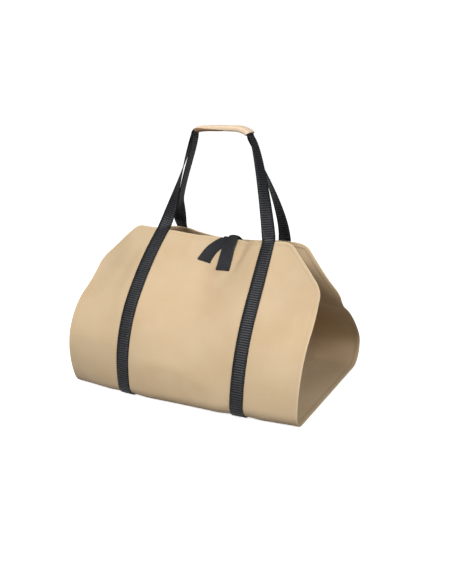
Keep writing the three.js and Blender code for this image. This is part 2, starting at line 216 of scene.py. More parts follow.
print("front edge, middle:", np.round(sling(0.0, -CLOTH["front"]), 1), "mm")

# %% [markdown]
# ## Closed walls from grids of points
# Cloth, webbing and tape are all thin walls: an outer grid of points, an inner grid and a rim between them.
# A Solidify modifier could thicken a sheet, but then hems and rounded edges could not differ from the
# middle. One helper joins two grids into a closed mesh, with the flat cloth's own millimetres as its UV map.

# %% Mesh helper
MM = 0.001


def strip(first, second):
    return np.stack([first[:-1], first[1:], second[1:], second[:-1]], axis=-1)


def wall_faces(grid, under, ring):
    """The quads of both grids and of the rim between them; a ring has no side rims."""
    rows = len(grid)
    faces = [strip(grid[r], grid[r + 1]) for r in range(rows - 1)]
    faces += [strip(under[r + 1], under[r]) for r in range(rows - 1)]
    faces += [strip(under[0], grid[0]), strip(grid[-1], under[-1])]
    if not ring:
        faces += [strip(grid[:, 0], under[:, 0]), strip(under[:, -1], grid[:, -1])]
    return np.concatenate(faces)


def wall_piece(name, outer, inner, flat, material, ring=False, edge=None):
    """A closed mesh from an outer and an inner grid in mm; flat is the UV map in mm, edge an attribute."""
    rows, cols = outer.shape[:2]
    grid = np.arange(rows * cols).reshape(rows, cols)
    if ring:
        grid = np.column_stack([grid, grid[:, 0]])
    faces = wall_faces(grid, grid + rows * cols, ring)
    flat_grid = np.arange(flat.shape[0] * flat.shape[1]).reshape(flat.shape[:2])
    flat_faces = wall_faces(flat_grid, flat_grid, ring)
    mesh = bpy.data.meshes.new(name)
    points = np.concatenate([outer.reshape(-1, 3), inner.reshape(-1, 3)]) * MM
    mesh.from_pydata(points.tolist(), [], faces.tolist())
    uv = flat.reshape(-1, 2)[flat_faces.reshape(-1)] * MM
    mesh.uv_layers.new(name="flat").data.foreach_set("uv", uv.ravel().astype(np.float32))
    if edge is not None:
        both = np.concatenate([edge.ravel(), edge.ravel()]).astype(np.float32)
        mesh.attributes.new("edge", "FLOAT", "POINT").data.foreach_set("value", both)
    shell = bmesh.new()
    shell.from_mesh(mesh)
    if shell.calc_volume(signed=True) < 0:
        bmesh.ops.reverse_faces(shell, faces=shell.faces)
        shell.to_mesh(mesh)
    shell.free()
    mesh.shade_smooth()
    mesh.materials.append(material)
    made = bpy.data.objects.new(name, mesh)
    bpy.context.scene.collection.objects.link(made)
    print(name, len(mesh.polygons), "faces")
    return made


print("points are given in mm; a mesh holds them times", MM)

# %% [markdown]
# ## Materials: a node helper
# Every finish below is a small tree of nodes. One helper adds a node with its settings and links, and one
# function turns an sRGB hex colour, as read from a picture, into the linear values that shaders use.

# %% Node and colour helpers
def colour(code):
    """An sRGB hex colour as linear RGBA."""
    parts = [int(code[k:k + 2], 16) / 255 for k in (1, 3, 5)]
    return tuple(c / 12.92 if c <= 0.04045 else ((c + 0.055) / 1.055) ** 2.4 for c in parts) + (1.0,)


def add(tree, kind, inputs=(), **settings):
    """Adds a node; inputs pairs a socket's name or number with a value or with an output to link."""
    made = tree.nodes.new(kind)
    for name, value in settings.items():
        setattr(made, name, value)
    for key, value in dict(inputs).items():
        if isinstance(value, bpy.types.NodeSocket):
            tree.links.new(value, made.inputs[key])
        else:
            made.inputs[key].default_value = value
    return made


def new_material(name):
    made = bpy.data.materials.new(name)
    made.use_nodes = True
    made.node_tree.nodes.clear()
    return made, made.node_tree


print("tan in linear light:", [round(v, 3) for v in colour("#d8be97")])

# %% [markdown]
# ## Waxed cotton canvas
# The sling is a plain-woven cotton duck with a dull waxed finish: nearly matt, even in colour, with slightly
# thicker threads here and there and paler, rubbed edges. The threads are about 0.5 mm apart, too fine for
# this picture, so the weave is drawn 1.5 mm apart to show at all. A woven picture could be laid on, but a
# small tree of waves and noise needs none, and it follows the flat cloth through the UV map.

# %% Canvas material
DRAWN_THREAD = 0.0015
SLUB = {"length": 60, "width": 2, "tint": 0.12, "relief": 0.4}
CLOUDS = {"per_metre": 14.0, "low": 0.4, "high": 0.85}
RUBBED = {"most": 0.75, "from": 0.2, "to": 2.4}
# Painted shade: the brown that darkens the strip under the grip's lap.
PAINTED_LAP_SHADE = "#86664a"
CANVAS_FINISH = {
    "IOR": 1.5, "Specular IOR Level": 0.25, "Sheen Weight": 0.12, "Sheen Roughness": 0.5,
}


def woven_cloth(name, body, dark, rubbed, roughness, depth):
    """A plain weave with slubs, cloudy dye, rubbed edges and painted shade where an attribute asks; depth is
    in metres.
    """
    made, tree = new_material(name)
    flat = add(tree, "ShaderNodeUVMap", uv_map="flat").outputs[0]
    at = add(tree, "ShaderNodeSeparateXYZ", {0: flat})
    waves = []
    for axis in (0, 1):
        angle_of = {0: at.outputs[axis], 1: math.pi / DRAWN_THREAD}
        turns = add(tree, "ShaderNodeMath", angle_of, operation="MULTIPLY").outputs[0]
        waves.append(add(tree, "ShaderNodeMath", {0: turns}, operation="SINE").outputs[0])
    weave = add(tree, "ShaderNodeMath", {0: waves[0], 1: waves[1]}, operation="MULTIPLY").outputs[0]
    slubs = []
    lengthwise, crosswise = (1 / (DRAWN_THREAD * SLUB[way]) for way in ("length", "width"))
    for stretch in ((lengthwise, crosswise, 1), (crosswise, lengthwise, 1)):
        place = add(tree, "ShaderNodeMapping", {"Vector": flat, "Scale": stretch}).outputs[0]
        slub = add(tree, "ShaderNodeTexNoise", {"Vector": place, "Scale": 1.0, "Detail": 1.0})
        slubs.append(slub.outputs[0])
    threads = add(tree, "ShaderNodeMath", {0: slubs[0], 1: slubs[1]}, operation="ADD").outputs[0]
    cloudy = {"Vector": flat, "Scale": CLOUDS["per_metre"], "Detail": 3.0}
    cloud = add(tree, "ShaderNodeTexNoise", cloudy).outputs[0]
    tinted = {0: threads, 1: SLUB["tint"], 2: cloud}
    tint = add(tree, "ShaderNodeMath", tinted, operation="MULTIPLY_ADD").outputs[0]
    spread = {"Value": tint, 1: CLOUDS["low"], 2: CLOUDS["high"]}
    share = add(tree, "ShaderNodeMapRange", spread).outputs[0]
    dyes = {0: share, 6: colour(dark), 7: colour(body)}
    dyed = add(tree, "ShaderNodeMix", dyes, data_type="RGBA").outputs[2]
    rim = add(tree, "ShaderNodeAttribute", attribute_name="edge").outputs["Fac"]
    fading = {"Value": rim, 1: RUBBED["from"], 2: RUBBED["to"], 3: RUBBED["most"], 4: 0.0}
    worn = add(tree, "ShaderNodeMapRange", fading).outputs[0]
    pale = add(tree, "ShaderNodeMix", {0: worn, 6: dyed, 7: colour(rubbed)}, data_type="RGBA").outputs[2]
    # Painted shade: an attribute darkens the strip under the grip's lap towards brown.
    painted_shade = add(tree, "ShaderNodeAttribute", attribute_name="lap_painted_shade").outputs["Fac"]
    shade = add(tree, "ShaderNodeMix", {0: painted_shade, 6: pale, 7: colour(PAINTED_LAP_SHADE)}, data_type="RGBA").outputs[2]
    raised = {0: threads, 1: SLUB["relief"], 2: weave}
    relief = add(tree, "ShaderNodeMath", raised, operation="MULTIPLY_ADD").outputs[0]
    bump = add(tree, "ShaderNodeBump", {"Height": relief, "Distance": depth, "Strength": 0.5}).outputs[0]
    shader = add(tree, "ShaderNodeBsdfPrincipled", {
        "Base Color": shade, "Normal": bump, "Roughness": roughness, **CANVAS_FINISH,
    })
    add(tree, "ShaderNodeOutputMaterial", {"Surface": shader.outputs[0]})
    return made


WEAVE_DEPTH = 0.00005
canvas = woven_cloth("waxed_cotton_canvas", "#cab392", "#c3a986", "#d8c5a4", 0.8, WEAVE_DEPTH)
grip_canvas = woven_cloth("grip_cotton_canvas", "#e1c8ae", "#dabfa3", "#ebd8c0", 0.85, WEAVE_DEPTH)
print("cloths:", canvas.name, grip_canvas.name)

# %% [markdown]
# ## The sling
# The cloth is an octagon: a rectangle with its corners cut off. A hem is turned in all round, so the edge is
# thicker, a stitch line sinks into it, and the outermost fold is round. The mesh has close rows and columns
# at the hem and even ones between, about 4 mm apart, which is fine enough for the soft dents.

# %% Cut of the cloth
CUT = {"across": 64, "along": 80, "round": 28, "soften": 14}
HEM_STEPS = np.array((0, 0.6, 1.8, 3.4, 5.0, 6.2, 7.0, 7.8, 9.0, 11.0))
INSIDE_HEM = 14
FLAT_ROWS, FLAT_COLUMNS = 240, 105


def half_width(from_edge):
    """Half the flat cloth's width at distances from its top edge."""
    from_edge = np.maximum(from_edge, 0)
    slope = math.atan2(CUT["along"], CUT["across"])
    corner, radius = CLOTH["width"] / 2 - CUT["across"], CUT["round"]
    arc_start = corner - radius * math.tan(slope / 2)
    rounded = arc_start + np.sqrt(np.maximum(from_edge * (2 * radius - from_edge), 0))
    above, soft = CUT["along"] - from_edge, CUT["soften"]
    rise = np.where(np.abs(above) > soft, np.maximum(above, 0), (above + soft) ** 2 / (4 * soft))
    straight = CLOTH["width"] / 2 - rise * CUT["across"] / CUT["along"]
    return np.where(from_edge < radius * (1 - math.cos(slope)), rounded, straight)


between = np.linspace(INSIDE_HEM - CLOTH["front"], CLOTH["back"] - INSIDE_HEM, FLAT_ROWS)
girths = np.concatenate([HEM_STEPS - CLOTH["front"], between, CLOTH["back"] - HEM_STEPS[::-1]])
from_edge = np.minimum(girths + CLOTH["front"], CLOTH["back"] - girths)
half = half_width(from_edge)[:, None]
even = (half - INSIDE_HEM) * np.linspace(-1, 1, FLAT_COLUMNS)
places = np.concatenate([HEM_STEPS - half, even, half - HEM_STEPS[::-1]], axis=1)
girths = np.broadcast_to(girths[:, None], places.shape)
print("grid of", places.shape, "points")

# %% Hem and faces
HEM = {"stitch": 7.0, "sink": 0.18, "groove": 0.8, "puff": 0.12, "rim": 0.6, "sink_inside": 0.6}
HEM_STEP = {"outside": 0.6, "inside": 0.4}
SLOPE_STEP = 0.1
cut_slope = (half_width(from_edge + SLOPE_STEP) - half_width(from_edge - SLOPE_STEP)) / (2 * SLOPE_STEP)
side_distance = (half - np.abs(places)) / np.sqrt(1 + cut_slope[:, None] ** 2)
edge = np.minimum(from_edge[:, None], side_distance)
rim = HEM["rim"] * np.maximum(1 - edge / HEM["rim"], 0) ** 2
middle = HEM["stitch"] / 2
puff = HEM["puff"] * np.maximum(1 - ((edge - middle) / middle) ** 2, 0)
groove = HEM["sink"] * np.exp(-(((edge - HEM["stitch"]) / HEM["groove"]) ** 2))
turned_in = smooth(CLOTH["hem"] - edge, -HEM_STEP["inside"], HEM_STEP["outside"])
thick = CLOTH["thick"] + (CLOTH["hem_thick"] - CLOTH["thick"]) * turned_in - rim
face, facing = sling(places, girths), sling_normal(places, girths)
outer = face + facing * (puff - groove - rim)[..., None]
inner = face - facing * (thick - groove * HEM["sink_inside"])[..., None]
flat_cloth = np.stack([places, girths], axis=-1)
sling_piece = wall_piece("canvas_sling_cloth", outer, inner, flat_cloth, canvas, edge=edge)

# %% [markdown]
# ## Black webbing
# The webbing is woven polypropylene, 24 mm wide: fat cross ribs that catch the light, over a ground that
# stays dark between them. A flat strap with a bump would look printed from the side, so the ribs are real.
# Both are the same fine black yarn, a little uneven in shade; the ground gets a duller finish and a darker
# colour than the ribs, the darker colour being painted shade between them.

# %% Webbing material
PATCHES_PER_METRE = 30.0
UNEVEN = {"low": 0.7, "high": 1.4}
GLOSS_RANGE = 0.1


def black_weave(name, body, sheen, roughness, shine, yarn, depth):
    """Black yarn: fine in the relief, slightly uneven in shade; yarn and depth are in metres."""
    made, tree = new_material(name)
    where = add(tree, "ShaderNodeTexCoord").outputs["Object"]
    grain = add(tree, "ShaderNodeTexNoise", {"Vector": where, "Scale": 1 / yarn, "Detail": 2.0}).outputs[0]
    patchy = {"Vector": where, "Scale": PATCHES_PER_METRE, "Detail": 2.0}
    patches = add(tree, "ShaderNodeTexNoise", patchy).outputs[0]
    uneven = add(tree, "ShaderNodeMath", {0: grain, 1: patches}, operation="ADD").outputs[0]
    spread = {"Value": uneven, 1: UNEVEN["low"], 2: UNEVEN["high"]}
    share = add(tree, "ShaderNodeMapRange", spread).outputs[0]
    blacks = {0: share, 6: colour(body), 7: colour(sheen)}
    shade = add(tree, "ShaderNodeMix", blacks, data_type="RGBA").outputs[2]
    glossy = {"Value": grain, 3: roughness - GLOSS_RANGE, 4: roughness + GLOSS_RANGE}
    gloss = add(tree, "ShaderNodeMapRange", glossy).outputs[0]
    bump = add(tree, "ShaderNodeBump", {"Height": grain, "Distance": depth, "Strength": 0.6}).outputs[0]
    shader = add(tree, "ShaderNodeBsdfPrincipled", {
        "Base Color": shade, "Normal": bump, "Roughness": gloss, "IOR": 1.49, "Specular IOR Level": shine,
    })
    add(tree, "ShaderNodeOutputMaterial", {"Surface": shader.outputs[0]})
    return made


FINE_YARN = {"yarn": 0.0012, "depth": 0.0002}
webbing_yarn = black_weave(
    "black_polypropylene_webbing", "#1b1c20", "#2c2d32", roughness=0.42, shine=0.42, **FINE_YARN)
# Painted shade: the ground is the same yarn as the ribs, given a darker colour for the shade between them.
webbing_ground_painted_shade = black_weave(
    "black_webbing_ground", "#0c0d0f", "#131417", roughness=0.6, shine=0.15, **FINE_YARN)
print("webbing:", webbing_yarn.name, webbing_ground_painted_shade.name)

# %% [markdown]
# ## The lines of the straps
# Each strap is one length: it lies against the cloth as far as the top edge, climbs in a leg that turns its
# flat side, and passes through the grip. A curve could be swept, but the twist of a curve is hard to hold, so
# a line is kept as rows of a centre, a side and an outward direction. The grip's part comes first, because
# the legs have to meet it.

# %% The line of the handles through the grip
CROWN = {"x": -51, "y": -0.7, "z": 459.6, "heading": 86}
CROWN_LENGTHS, CROWN_TURNS = (14, 74, 24, 10), (-81.5, -5, -26.5, -59)
CROWN_END = sum(CROWN_LENGTHS)
CROWN_ROWS, LEG_ROWS = 60, 79
# The pulls and the spread shape a leg's curve; the rest say how soon and how evenly its flat side turns.
LEG_COLUMNS = ("lower_pull", "upper_pull", "spread", "done", "power", "lead")
LEGS = {
    ("front", "left"): (38, 36, 16, 1, 0.8, 27), ("front", "right"): (9, 8, 13.5, 1, 0.5, 5.5),
    ("back", "left"): (62, 36, 0.6, 0.28, 0.5, 30.6), ("back", "right"): (62, 8, 2.5, 1, 0.5, 11),
}


def crown_frame(distance, lift):
    """Places, headings and upward directions along the line that both handles follow through the grip."""
    out, up, heading = follow(CROWN_LENGTHS, CROWN_TURNS, distance, math.radians(CROWN["heading"]))
    level = np.zeros_like(heading)
    forward = np.stack([np.cos(heading), level, np.sin(heading)], axis=-1)
    upward = np.stack([-np.sin(heading), level, np.cos(heading)], axis=-1)
    centre = np.stack([CROWN["x"] + out, level + CROWN["y"], CROWN["z"] + up], axis=-1)
    return centre + upward * lift, forward, upward


def bezier(points, share):
    """Places and directions on a cubic curve."""
    a, b, c, d = (np.asarray(p, float) for p in points)
    t = share[:, None]
    place = a * (1 - t) ** 3 + 3 * b * t * (1 - t) ** 2 + 3 * c * t * t * (1 - t) + d * t ** 3
    return place, unit((b - a) * (1 - t) ** 2 + 2 * (c - b) * t * (1 - t) + (d - c) * t * t)


def leg(start, start_forward, start_normal, top, facing, spec):
    """Centre, side and outward direction of a handle leg, from the cloth's edge up to the grip."""
    centre, forward, upward = top
    pull = centre - forward * spec["upper_pull"] + upward * (facing * spec["spread"])
    share = np.linspace(0, 1, LEG_ROWS + 2)[1:-1]
    place, ahead = bezier((start, start + start_forward * spec["lower_pull"], pull, centre), share)
    part = np.minimum(share / spec["done"], 1)[:, None]
    turn = np.radians(90 * part ** spec["power"] - spec["lead"] * np.sin(math.pi * np.sqrt(part)))
    outward = start_normal * np.cos(turn) + upward * np.sin(turn)
    outward = unit(outward - ahead * (outward * ahead).sum(axis=-1, keepdims=True))
    return place, np.cross(ahead, outward) * facing, outward


print("grip line", CROWN_END, "mm long")

# %% Strap lines
WALK_STEP = 2.0


def on_cloth(middle, end):
    """Centre, side and outward direction of webbing on the cloth, from the floor to an edge."""
    girth = np.linspace(math.copysign(CLEARANCE / 2, end), end, int(abs(end) / WALK_STEP))
    x = np.full_like(girth, middle)
    outward = sling_normal(x, girth)
    reach = WEBBING["width"] / 2
    side = unit(sling(x + reach, girth) - sling(x - reach, girth))
    return sling(x, girth) + outward * (CLEARANCE + WEBBING["thick"] / 2), side, outward


def strap_line(handle, end, facing):
    """One whole strap: up the left, through the grip, where the front one lies above, and down the right."""
    lift = facing * (WEBBING["thick"] + CLEARANCE) / 2
    sides = []
    for side, distance, sign in (("left", 0.0, 1), ("right", float(CROWN_END), -1)):
        lying = on_cloth(WEBBING[side], end)
        centre, forward, upward = crown_frame(np.array(distance), lift)
        start, ahead = lying[0][-1], unit(lying[0][-1] - lying[0][-2])
        spec = dict(zip(LEG_COLUMNS, LEGS[handle, side]))
        rising = leg(start, ahead, lying[2][-1], (centre, forward * sign, upward), facing, spec)
        sides.append([np.concatenate(parts) for parts in zip(lying, rising)])
    centre, forward, upward = crown_frame(np.linspace(0, CROWN_END, CROWN_ROWS), lift)
    crown = (centre, np.cross(forward, upward) * facing, upward)
    right = (sides[1][0][::-1], -sides[1][1][::-1], sides[1][2][::-1])
    return [np.concatenate(parts) for parts in zip(sides[0], crown, right)]


straps = {"front": strap_line("front", -CLOTH["front"], 1), "back": strap_line("back", CLOTH["back"], -1)}
print({name: len(line[0]) for name, line in straps.items()}, "rows")

# %% Even rows along a line
STEADY = 6.0


def steady(vectors, near):
    """Directions averaged with their neighbours, so that the strap turns gently where it leaves the cloth."""
    padded = np.pad(vectors, ((near, near), (0, 0)), mode="edge")
    return unit(sum(padded[k:k + len(vectors)] for k in range(2 * near + 1)))


def evenly_along(line, spacing):
    """The same line at even distances; also gives the distances."""
    steps = np.linalg.norm(np.diff(line[0], axis=0), axis=1)
    distance = np.concatenate([[0], np.cumsum(steps)])
    even = np.linspace(0, distance[-1], int(round(distance[-1] / spacing)) + 1)
    parts = [np.stack([np.interp(even, distance, part[:, k]) for k in range(3)], axis=-1) for part in line]
    near = int(round(STEADY / spacing))
    return parts[0], steady(parts[1], near), steady(parts[2], near), even


for name, line in straps.items():
    print(name, "strap", round(evenly_along(line, 5)[3][-1]), "mm long")

# %% [markdown]
# ## The strap's core and selvedges
# The core is a thin ribbon with a cord-like selvedge along each side. A bevelled curve could make it, but
# the strap line already holds the directions, so one cross-section is laid out at each row: places across
# the width, and the half thickness there.

# %% Webbing cores
CORE_SECTION = [
    (-12.0, 0.25), (-11.9, 0.6), (-11.5, 0.8), (-11.1, 0.7), (-10.8, 0.58), (-10.4, 0.58), (0.0, 0.58),
]
CORE_SECTION += [(-across, half_thick) for across, half_thick in CORE_SECTION[-2::-1]]
CORE_STEP = 3.0


def ribbon_piece(name, line, section, spacing, material):
    """A ribbon with one cross-section all along a line."""
    centre, side, outward, distance = evenly_along(line, spacing)
    across = np.array([row[0] for row in section])
    half_thick = np.array([row[1] for row in section])
    spread = centre[:, None] + side[:, None] * across[None, :, None]
    rise = outward[:, None] * half_thick[None, :, None]
    flat = np.stack(np.broadcast_arrays(across[None, :], distance[:, None]), axis=-1)
    return wall_piece(name, spread + rise, spread - rise, flat, material)


webbing_cores = {
    name: ribbon_piece(f"{name}_webbing_strap", line, CORE_SECTION, CORE_STEP, webbing_ground_painted_shade)
    for name, line in straps.items()
}

# %% [markdown]
# ## Cross ribs with Geometry Nodes
# Each rib is a yarn lying across the strap, so one short bar is repeated at even steps along the line. An
# Array modifier along a curve would twist where the strap turns. Points that carry the strap's own side and
# outward directions keep every rib square to it. Real ribs are about 2 mm apart; they are drawn 4.2 mm
# apart so that they show at this size of picture.

# %% Rib tree
def new_tree(name, sizes):
    """An empty geometry tree with a named input for each size."""
    tree = bpy.data.node_groups.new(name, "GeometryNodeTree")
    tree.interface.new_socket("Geometry", in_out="INPUT", socket_type="NodeSocketGeometry")
    for size in sizes:
        tree.interface.new_socket(size, in_out="INPUT", socket_type="NodeSocketFloat")
    tree.interface.new_socket("Finish", in_out="INPUT", socket_type="NodeSocketMaterial")
    tree.interface.new_socket("Geometry", in_out="OUTPUT", socket_type="NodeSocketGeometry")
    return tree, add(tree, "NodeGroupInput").outputs


def close_tree(tree, given, instances):
    """Makes the instances real and gives them their finish."""
    real = add(tree, "GeometryNodeRealizeInstances", {0: instances}).outputs[0]
    finished = add(tree, "GeometryNodeSetMaterial", {0: real, "Material": given["Finish"]}).outputs[0]
    add(tree, "NodeGroupOutput", {0: finished})


rib_tree, given = new_tree("cross_ribs", ("Rib length", "Rib width", "Rib height"))
unit_bar = {"Vertices": 8, "Side Segments": 4, "Radius": 0.5, "Depth": 1.0}
bar = add(rib_tree, "GeometryNodeMeshCylinder", unit_bar).outputs
plain = add(rib_tree, "GeometryNodeSetShadeSmooth", {0: bar["Mesh"], "Shade Smooth": False}).outputs[0]
rounded = add(rib_tree, "GeometryNodeSetShadeSmooth", {0: plain, "Selection": bar["Side"]}).outputs[0]
scales = {0: given["Rib height"], 1: given["Rib width"], 2: given["Rib length"]}
size = add(rib_tree, "ShaderNodeCombineXYZ", scales).outputs[0]
bar = add(rib_tree, "GeometryNodeTransform", {"Geometry": rounded, "Scale": size}).outputs[0]
aim = {}
for way in ("side", "outward"):
    carried = add(rib_tree, "GeometryNodeInputNamedAttribute", {"Name": way}, data_type="FLOAT_VECTOR")
    aim[way] = carried.outputs[0]
turn = add(rib_tree, "FunctionNodeAxesToRotation", {0: aim["side"], 1: aim["outward"]},
           primary_axis="Z", secondary_axis="X").outputs[0]
ribs = add(rib_tree, "GeometryNodeInstanceOnPoints",
           {"Points": given["Geometry"], "Instance": bar, "Rotation": turn}).outputs[0]
close_tree(rib_tree, given, ribs)
print("rib tree:", len(rib_tree.nodes), "nodes")

# %% Ribs along both straps
RIB = {"spacing": 4.2, "length": 23.6, "width": 3.9, "height": 1.56}


def grown(name, base, tree, values):
    """Runs a tree on a mesh and keeps the result as a plain mesh."""
    holder = bpy.data.objects.new(name, base)
    bpy.context.scene.collection.objects.link(holder)
    modifier = holder.modifiers.new(name, "NODES")
    modifier.node_group = tree
    keys = {item.name: item.identifier for item in tree.interface.items_tree if item.in_out == "INPUT"}
    for key, value in values.items():
        modifier[keys[key]] = value
    evaluated = holder.evaluated_get(bpy.context.evaluated_depsgraph_get())
    holder_mesh = bpy.data.meshes.new_from_object(evaluated)
    holder.modifiers.remove(modifier)
    holder.data = holder_mesh
    holder_mesh.name = name
    print(name, len(holder_mesh.polygons), "faces")
    return holder


def ribs_along(name, line):
    """A rib at each even step of a line."""
    centre, side, outward, _ = evenly_along(line, RIB["spacing"])
    base = bpy.data.meshes.new(name + "_points")
    base.from_pydata((centre * MM).tolist(), [], [])
    for way, vectors in (("side", side), ("outward", outward)):
        base.attributes.new(way, "FLOAT_VECTOR", "POINT").data.foreach_set("vector", vectors.ravel())
    return grown(name, base, rib_tree, {
        "Rib length": RIB["length"] * MM, "Rib width": RIB["width"] * MM, "Rib height": RIB["height"] * MM,
        "Finish": webbing_yarn,
    })


webbing_ribs = {name: ribs_along(f"{name}_webbing_ribs", line) for name, line in straps.items()}

# %% [markdown]
# ## The grip wrap
# A rectangle of canvas is folded round both handles and stitched along its edge, so the grip is a flat, soft
# sleeve with rounded sides and a seam below. A bent box would look hard. The sleeve is a ring of points swept
# along the grip line, with slight dents where hands have pressed it and ends that flare a little. At the
# lower left the lap leaves a strip of the layer below showing, painted a darker brown as painted shade under
# the lap's edge.

# %% Lap of the grip
GRIP = {"start": 10.5, "end": 117, "width": 30, "height": 10.8, "wall": 2.2, "squareness": 3.2}
LAP = {"share": 0.58, "high": 0.3, "low": -0.45, "step": 0.08, "tuck": 0.05}
LAP_FADE = {"below": 0.4, "from": 0.5, "to": 0.6}
GRIP_ROWS, GRIP_SIDES = 90, 72
BELOW = -math.pi / 2
angle = np.linspace(0, 2 * math.pi, GRIP_SIDES + 1)[:-1] + BELOW
along = np.linspace(GRIP["start"], GRIP["end"], GRIP_ROWS)
from_start = (along - along[0]) / (along[-1] - along[0])
lap_line = np.interp(from_start, (0, LAP["share"]), (LAP["high"], LAP["low"]))[:, None]
tucked = smooth(lap_line - angle, 0, LAP["step"]) * smooth(angle, BELOW, BELOW + LAP_FADE["below"])
tucked = tucked * smooth(-from_start, -LAP_FADE["to"], -LAP_FADE["from"])[:, None]
print("the lap shows over", round((tucked.max(axis=1) > 0).mean() * 100), "percent of the grip's length")

# %% Grip sleeve
DENT = {"depth": 0.5, "length": 22, "spread": 1.3}
MOUTH = {"flare": 0.5, "fade": 3, "seam": 0.35, "seam_at": 4, "seam_width": 0.9}
PINCH = {"share": 0.45, "length": 5}


def sleeve(cut):
    """The sleeve's ring at every row, cut in by a wall's thickness."""
    centre, forward, upward = crown_frame(along, 0)
    across = np.cross(forward, upward)
    part = {way: np.sign(f) * np.abs(f) ** (2 / GRIP["squareness"]) for way, f in
            (("side", np.cos(angle)), ("rise", np.sin(angle)))}
    spots = (along[:, None] / DENT["length"], part["side"] * DENT["spread"], part["rise"])
    dent = DENT["depth"] * noise_at(np.stack(np.broadcast_arrays(*spots), axis=-1))
    to_end = np.minimum(along - along[0], along[-1] - along)[:, None]
    flare = MOUTH["flare"] * np.exp(-to_end / MOUTH["fade"])
    flare = flare - MOUTH["seam"] * np.exp(-((to_end - MOUTH["seam_at"]) / MOUTH["seam_width"]) ** 2)
    drawn_in = 1 - LAP["tuck"] * tucked
    at_start = np.exp(-((along - along[0]) / PINCH["length"]) ** 2)[:, None]
    flattened = 1 - PINCH["share"] * (part["rise"] > 0) * at_start
    side = part["side"] * (GRIP["width"] / 2 - cut) * drawn_in
    rise = part["rise"] * (GRIP["height"] / 2 - cut + dent + flare) * drawn_in * flattened
    return centre[:, None] + across[:, None] * side[..., None] + upward[:, None] * rise[..., None]


girdle = np.linspace(0, 2 * (GRIP["width"] + GRIP["height"]), GRIP_SIDES + 1)
flat_wrap = np.stack(np.broadcast_arrays(girdle[None, :], along[:, None]), axis=-1)
grip_edge = np.minimum(along - along[0], along[-1] - along)[:, None] + np.zeros(GRIP_SIDES)
grip_piece = wall_piece(
    "grip_wrap_sleeve", sleeve(0), sleeve(GRIP["wall"]), flat_wrap, grip_canvas, ring=True, edge=grip_edge)
# Painted shade: the strip that the lap leaves showing is marked to be darkened brown.
lap_painted_shade = np.concatenate([tucked.ravel(), tucked.ravel()]).astype(np.float32)
grip_piece.data.attributes.new("lap_painted_shade", "FLOAT", "POINT").data.foreach_set("value", lap_painted_shade)

# %% [markdown]
# ## The tie
# Two cotton tapes, 28.5 mm wide, are sewn inside the panels and pulled over the front edge, which gathers
# them a little. The one from the back crosses the gap and hangs straight; the one from the front turns close
# over the edge and sweeps to the left. They could be draped by simulation, but their lie is known, so each is
# a ribbon laid on the cloth's own surface, and it follows every dent below it.

# %% Tape sizes and the front edge
TAPE = {"width": 28.5, "thick": 1.2, "sewn": 26, "below_edge": 5, "rest": 0.65}
BACK_TAPE = {"sewn_x": 46, "x": 40, "gathered": 0.78, "sag": 5, "radius": 6.5, "hump": 1.8}
BACK_TAPE_TURN = {"from": 110, "to": 40}
BACK_TAIL = {"x": 34, "opened": 22, "down": 64.5, "edge_lift": 4.0, "end_lift": 0.8, "skew": 0.06}
FRONT_TAPE = {"x": 24, "gathered": 0.6, "creep": 3}
FRONT_TAPE_TURN = {"from": 180, "to": 0}
FRONT_TAIL = ((24, 0), (24, 10), (-4, 12), (-11.5, 53))
ROWS = {"sewn": 12, "back_turn": 14, "front_turn": 22, "bridge": 24, "tail": 50}
TAPE_ACROSS = np.array((-0.5, -0.485, -0.45, -0.3, -0.15, 0, 0.15, 0.3, 0.45, 0.485, 0.5)) * TAPE["width"]
INSIDE = -(CLOTH["hem_thick"] + CLEARANCE)
sewn_down = np.linspace(TAPE["sewn"], TAPE["below_edge"], ROWS["sewn"])[:, None] + 0 * TAPE_ACROSS


def lifted(x, girth, lift):
    """Points at a height above the cloth's outer face."""
    return sling(x, girth) + sling_normal(x, girth) * np.asarray(lift, float)[..., None]


def front_girth(down):
    """The girth at a distance down from the front edge."""
    return np.asarray(down, float) - CLOTH["front"]


def round_edge(x, degrees, radius):
    """Points round the front top edge: 0 is in front, 90 above and 180 behind."""
    girth = np.full_like(x, -CLOTH["front"])
    upward = unit(sling(x, girth) - sling(x, girth + 1))
    turn = np.radians(degrees)[..., None]
    middle = lifted(x, girth, np.full_like(x, -CLOTH["hem_thick"] / 2))
    return middle + (sling_normal(x, girth) * np.cos(turn) + upward * np.sin(turn)) * radius


def opening(gathered, share):
    """The tape's width grows back from its gathered share to the whole."""
    return gathered + (1 - gathered) * share


print("tapes", TAPE["width"], "mm wide,", TAPE["thick"], "mm thick")

